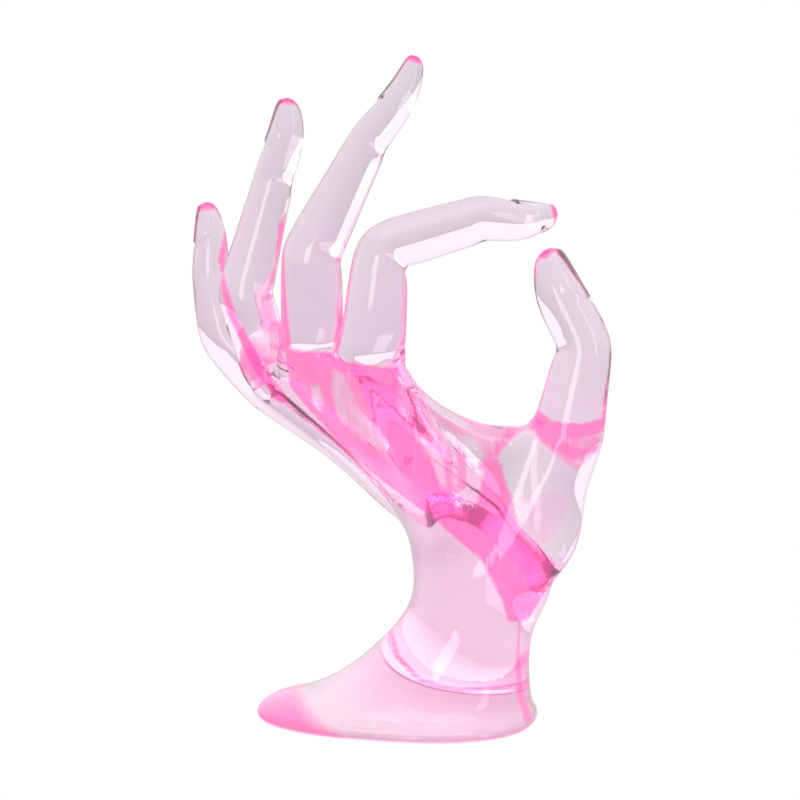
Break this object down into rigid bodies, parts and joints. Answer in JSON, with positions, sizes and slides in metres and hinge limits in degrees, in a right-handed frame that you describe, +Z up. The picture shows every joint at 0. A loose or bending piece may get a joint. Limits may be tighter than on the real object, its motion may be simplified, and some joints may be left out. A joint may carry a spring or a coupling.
{
  "type": "hand jewelry stand",
  "caption": "Clear pink-tinted hand on a flared foot that holds rings on its fingers and bracelets over the circle made by thumb and forefinger.",
  "frame": {"origin": "middle of the foot's flat underside", "axes": "+Z up along the hand's height, +X from the foot's long toe towards the thumb, the circle of thumb and forefinger opens along Y with the forefinger side at -Y"},
  "size_m": [0.0994, 0.0522, 0.1593],
  "materials": {
    "tinted_resin": "polished clear cast resin, pink tint"
  },
  "bodies": {
    "root": {"hand_stand": "tinted_resin"}
  },
  "joints": []
}
